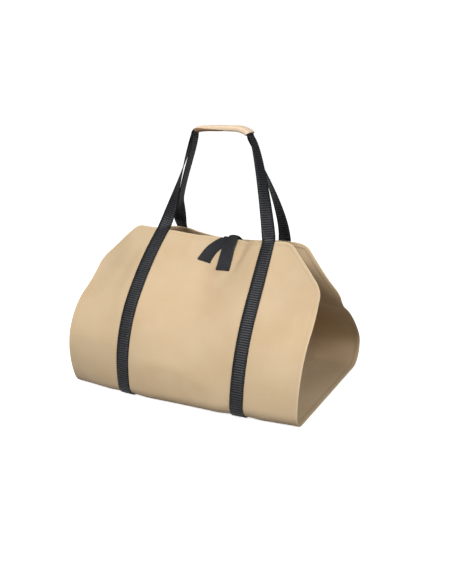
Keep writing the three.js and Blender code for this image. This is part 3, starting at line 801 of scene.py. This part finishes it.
# %% Tape paths
def back_tape_rows():
    """Sewn inside the back panel, across the gap, over the front edge and straight down."""
    spec, tail = BACK_TAPE, BACK_TAIL
    x, lift = spec["sewn_x"] + TAPE_ACROSS + 0 * sewn_down, INSIDE - TAPE["thick"] + 0 * sewn_down
    sewn = lifted(x, CLOTH["back"] - sewn_down, lift)
    turns = np.linspace(BACK_TAPE_TURN["from"], BACK_TAPE_TURN["to"], ROWS["back_turn"])
    turns = turns[:, None] + 0 * TAPE_ACROSS
    rounded = (spec["radius"] - spec["hump"] * (2 * TAPE_ACROSS / TAPE["width"]) ** 2)[:, None]
    edge_rows = round_edge(spec["x"] + spec["gathered"] * TAPE_ACROSS + 0 * turns, turns, rounded)
    share = np.linspace(0, 1, ROWS["bridge"] + 2)[1:-1, None, None]
    bridge = sewn[-1] * (1 - share) + edge_rows[0] * share
    bridge[..., 2] -= (spec["sag"] * np.sin(math.pi * share))[..., 0]
    down = np.linspace(TAPE["below_edge"], tail["down"], ROWS["tail"])[:, None]
    share = np.minimum(down / tail["opened"], 1)
    x = spec["x"] + (tail["x"] - spec["x"]) * share + TAPE_ACROSS * opening(spec["gathered"], share)
    lift = tail["edge_lift"] + (tail["end_lift"] - tail["edge_lift"]) * down / tail["down"]
    down = down * (1 - tail["skew"] * TAPE_ACROSS / TAPE["width"])
    return np.concatenate([sewn, bridge, edge_rows, lifted(x, front_girth(down), lift + 0 * x)])


def front_tape_rows():
    """Sewn inside the front panel, close over its edge and down to the left."""
    gathered = FRONT_TAPE["gathered"]
    x = FRONT_TAPE["x"] + gathered * TAPE_ACROSS
    sewn = lifted(x + 0 * sewn_down, front_girth(sewn_down), INSIDE + 0 * sewn_down)
    turns = np.linspace(FRONT_TAPE_TURN["from"], FRONT_TAPE_TURN["to"], ROWS["front_turn"])
    turns = turns[:, None] + 0 * x
    edge_rows = round_edge(x + 0 * turns, turns, CLOTH["hem_thick"] / 2 + TAPE["rest"])
    share = np.linspace(0, 1, ROWS["tail"] + 1)[1:]
    place, heading = bezier(FRONT_TAIL, share)
    reach = TAPE_ACROSS * opening(gathered, share[:, None])
    across = place[:, 0, None] + reach * heading[:, 1, None]
    down = np.maximum(place[:, 1, None] - reach * heading[:, 0, None], FRONT_TAPE["creep"] * share[:, None])
    return np.concatenate([sewn, edge_rows, lifted(across, front_girth(down), TAPE["rest"] + 0 * across)])


tape_rows = {"back": back_tape_rows(), "front": front_tape_rows()}
print({name: rows.shape for name, rows in tape_rows.items()})

# %% [markdown]
# ## Cotton tape
# The tape is a flat cotton twill: duller than the webbing, with no ribs, and charcoal where the light falls
# on it. Its selvedges are thin and its loose end is turned up once, which a plain extruded strip would lack,
# so the thickness is worked out for each row and each place across.

# %% Tape material and pieces
TAPE_END = {"turned": 7.0, "extra": 0.9, "step": 0.6, "round": 1.0, "thin": 0.35}
SELVEDGE = {"from": 0.49, "thin": 0.4}
tape_cotton = black_weave(
    "black_cotton_tape", "#18191c", "#2d2e33", roughness=0.66, shine=0.3, yarn=0.0015, depth=0.0003)


def tape_piece(name, under):
    """A tape laid on rows of points, with thin selvedges and a turned-up end."""
    middle = under[:, under.shape[1] // 2]
    ahead = np.concatenate([middle[1:], middle[-1:]]) - np.concatenate([middle[:1], middle[:-1]])
    outward = unit(np.cross(ahead, under[:, -1] - under[:, 0]))[:, None]
    steps = np.concatenate([[0], np.cumsum(np.linalg.norm(np.diff(middle, axis=0), axis=1))])
    to_end = steps[-1] - steps
    doubled = TAPE_END["extra"] * smooth(TAPE_END["turned"] - to_end, -TAPE_END["step"], TAPE_END["step"])
    round_end = np.sqrt(np.minimum(to_end / TAPE_END["round"], 1))
    thick = (TAPE["thick"] + doubled) * (TAPE_END["thin"] + (1 - TAPE_END["thin"]) * round_end)
    rounded = np.where(np.abs(TAPE_ACROSS) > TAPE["width"] * SELVEDGE["from"], SELVEDGE["thin"], 1.0)
    upper = under + outward * (thick[:, None] * rounded[None, :])[..., None]
    flat = np.stack(np.broadcast_arrays(TAPE_ACROSS[None, :], steps[:, None]), axis=-1)
    return wall_piece(name, upper, under, flat, tape_cotton)


tie_pieces = {name: tape_piece(f"tie_{name}_tape_ribbon", rows) for name, rows in tape_rows.items()}

# %% [markdown]
# ## Stitching with Geometry Nodes
# The hem is held by a row of tan thread. A dashed line in the material would be flat, so each stitch is a
# small rounded bar, repeated along a path. The paths are lines on the finished cloth, and the tree resamples
# them to the stitch length and turns each bar along the path. Real stitches are about 3 mm long; that still
# shows up close, so they keep their size.

# %% Stitch tree
stitch_tree, given = new_tree("stitch_row", ("Pitch", "Stitch length", "Thread width"))
path = add(stitch_tree, "GeometryNodeMeshToCurve", {0: given["Geometry"]}).outputs[0]
even_steps = {"Curve": path, "Length": given["Pitch"]}
path = add(stitch_tree, "GeometryNodeResampleCurve", even_steps, mode="LENGTH").outputs[0]
bar = add(stitch_tree, "GeometryNodeMeshUVSphere", {"Segments": 6, "Rings": 5, "Radius": 0.5}).outputs["Mesh"]
size = add(stitch_tree, "ShaderNodeCombineXYZ",
           {0: given["Thread width"], 1: given["Thread width"], 2: given["Stitch length"]}).outputs[0]
bar = add(stitch_tree, "GeometryNodeTransform", {"Geometry": bar, "Scale": size}).outputs[0]
bar = add(stitch_tree, "GeometryNodeSetShadeSmooth", {0: bar}).outputs[0]
ahead = add(stitch_tree, "GeometryNodeInputTangent").outputs[0]
turn = add(stitch_tree, "FunctionNodeAlignRotationToVector", {"Vector": ahead}, axis="Z").outputs[0]
stitches = add(stitch_tree, "GeometryNodeInstanceOnPoints",
               {"Points": path, "Instance": bar, "Rotation": turn}).outputs[0]
close_tree(stitch_tree, given, stitches)
print("stitch tree:", len(stitch_tree.nodes), "nodes")

# %% Thread material
FIBRES_PER_METRE = 900.0


def thread(name, code):
    """Spun polyester thread: a soft, slightly glossy strand with fine uneven fibres."""
    made, tree = new_material(name)
    where = add(tree, "ShaderNodeTexCoord").outputs["Object"]
    fibres = {"Vector": where, "Scale": FIBRES_PER_METRE, "Detail": 1.0}
    fibre = add(tree, "ShaderNodeTexNoise", fibres).outputs[0]
    gloss = add(tree, "ShaderNodeMapRange", {"Value": fibre, 3: 0.5, 4: 0.8}).outputs[0]
    finish = {"Base Color": colour(code), "Roughness": gloss, "IOR": 1.5}
    shader = add(tree, "ShaderNodeBsdfPrincipled", finish)
    add(tree, "ShaderNodeOutputMaterial", {"Surface": shader.outputs[0]})
    return made


tan_thread = thread("tan_polyester_thread", "#c9ad84")
print("thread:", tan_thread.name)

# %% Hem stitching
STITCH = {"Pitch": 3.6 * MM, "Stitch length": 3.0 * MM, "Thread width": 0.7 * MM}
STITCH_LIFT = 0.12
HEM_LINE = int(np.where(HEM_STEPS == HEM["stitch"])[0][0])


def sewn(name, lines, finish):
    """Stitches along lines of points in mm."""
    points = np.concatenate(lines) * MM
    starts = np.cumsum([0] + [len(line) for line in lines])
    pairs = [(k, k + 1) for a, b in zip(starts[:-1], starts[1:]) for k in range(a, b - 1)]
    base = bpy.data.meshes.new(name + "_path")
    base.from_pydata(points.tolist(), pairs, [])
    return grown(name, base, stitch_tree, {**STITCH, "Finish": finish})


def ring_of(points, inset):
    """The closed line through a grid's points, a number of rows and columns in from its edge."""
    last = -1 - inset
    top, right = points[inset, inset:last], points[inset:last, last]
    bottom, left = points[last, last:inset:-1], points[last:inset:-1, inset]
    return np.concatenate([top, right, bottom, left, top[:1]])


lift = facing * STITCH_LIFT
hem_lines = [ring_of(outer + lift, HEM_LINE), ring_of(inner - lift, HEM_LINE)]
hem_stitching = sewn("hem_stitching", hem_lines, tan_thread)

# %% [markdown]
# ## Riding on the frame
# Each finished piece moves with the carrier's one body; where it stands for one of the plain solids, that
# solid is hidden.

stands_for = [
    (sling_piece, "canvas_sling", "canvas"),
    (webbing_cores["front"], "front_webbing", "webbing"), (webbing_cores["back"], "back_webbing", "webbing"),
    (grip_piece, "grip_wrap", "grip_canvas"),
    (tie_pieces["back"], "tie_back_tape", "tape"), (tie_pieces["front"], "tie_front_tape", "tape"),
]
dressing = [(webbing_ribs["front"], "webbing"), (webbing_ribs["back"], "webbing"), (hem_stitching, "canvas")]
for made, node_name, slot in stands_for:
    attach(made, "root")
    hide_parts(node_name)
for made, slot in dressing:
    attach(made, "root")
print(len(stands_for) + len(dressing), "pieces ride on the frame")

# %% [markdown]
# ## Floor, light and camera
# The carrier stands on a pale floor that curves up into a wall all round, so that no horizon shows from any
# side. The camera and shiny surfaces see it white, but light that bounces off it is held to a mid grey, so
# the underside of the belly stays as dark as in a large room. One soft light stands high in front; dimmer
# ones fill in from the right, from low in front and from overhead.

# %% Studio floor
FLOOR = {"flat": 3.5, "bend": 1.5, "steps": 12, "sides": 64, "glow": 0.8}


def studio_floor():
    """A flat round floor whose rim bends up into a wall."""
    bends = np.radians(np.linspace(0, 90, FLOOR["steps"] + 1))
    profile = [(FLOOR["flat"] * share, 0.0) for share in (0.5, 0.98)]
    for b in bends:
        profile.append((FLOOR["flat"] + FLOOR["bend"] * math.sin(b), FLOOR["bend"] * (1 - math.cos(b))))
    turns = np.linspace(0, 2 * math.pi, FLOOR["sides"] + 1)[:-1]
    points = [(r * math.cos(t), r * math.sin(t), z) for r, z in profile for t in turns]
    sides = FLOOR["sides"]
    faces = [list(range(sides))]
    for ring in range(len(profile) - 1):
        for k in range(sides):
            low, nxt = ring * sides, (k + 1) % sides
            faces.append([low + k, low + sides + k, low + sides + nxt, low + nxt])
    mesh = bpy.data.meshes.new("studio_floor")
    mesh.from_pydata(points, [], faces)
    mesh.shade_smooth()
    return bpy.data.objects.new("studio_floor", mesh)


floor = studio_floor()
bpy.context.scene.collection.objects.link(floor)
paint, tree = new_material("matt_white_paint")
ray = add(tree, "ShaderNodeLightPath").outputs
seen = ray["Is Camera Ray"]
shown = add(tree, "ShaderNodeMath", {0: seen, 1: ray["Is Glossy Ray"]}, operation="MAXIMUM").outputs[0]
tones = {0: shown, 6: colour("#808080"), 7: colour("#f6f6f5")}
tone = add(tree, "ShaderNodeMix", tones, data_type="RGBA").outputs[2]
glow = add(tree, "ShaderNodeMath", {0: seen, 1: FLOOR["glow"]}, operation="MULTIPLY").outputs[0]
shader = add(tree, "ShaderNodeBsdfPrincipled", {
    "Base Color": tone, "Roughness": 0.9, "Emission Color": colour("#ffffff"), "Emission Strength": glow,
})
add(tree, "ShaderNodeOutputMaterial", {"Surface": shader.outputs[0]})
floor.data.materials.append(paint)
print("floor", 2 * FLOOR["flat"], "m across")

# %% Light
LIGHTS = [
    {"name": "front_softbox", "place": (-0.2, -1.72, 1.7), "aim": (0, 0, 0.15), "size": 0.7, "power": 35},
    {"name": "right_fill", "place": (1.7, -0.9, 1.5), "aim": (0, 0, 0.25), "size": 1.0, "power": 20},
    {"name": "low_card", "place": (0.3, -1.9, 0.5), "aim": (0, 0, 0.35), "size": 1.2, "power": 5},
    {"name": "overhead_fill", "place": (0.2, 0.3, 2.4), "aim": (0, 0, 0.2), "size": 1.6, "power": 8},
]
ROOM_LIGHT = 0.22


def aimed(place, aim):
    return (Vector(aim) - Vector(place)).to_track_quat("-Z", "Y").to_euler()


for spec in LIGHTS:
    lamp = bpy.data.lights.new(spec["name"], "AREA")
    lamp.size, lamp.energy = spec["size"], spec["power"]
    holder = bpy.data.objects.new(spec["name"], lamp)
    holder.location, holder.rotation_euler = spec["place"], aimed(spec["place"], spec["aim"])
    bpy.context.scene.collection.objects.link(holder)
sky = bpy.data.worlds.new("soft_white_room")
sky.use_nodes = True
room = sky.node_tree.nodes["Background"].inputs
room["Color"].default_value, room["Strength"].default_value = colour("#ffffff"), ROOM_LIGHT
bpy.context.scene.world = sky
bpy.context.scene.view_settings.view_transform = "Standard"
print(len(LIGHTS), "lights")

# %% Camera
CAMERA = {"place": (0.6075, -1.2055, 0.5506), "aim": (0.0224, -0.0217, 0.1744), "lens": 45.49}
lens = bpy.data.cameras.new("camera")
lens.lens, lens.sensor_width, lens.sensor_fit = CAMERA["lens"], 36, "AUTO"
camera = bpy.data.objects.new("camera", lens)
camera.location, camera.rotation_euler = CAMERA["place"], aimed(CAMERA["place"], CAMERA["aim"])
bpy.context.scene.collection.objects.link(camera)
bpy.context.scene.camera = camera
print("camera", round((Vector(CAMERA["place"]) - Vector(CAMERA["aim"])).length, 3), "m from the carrier")
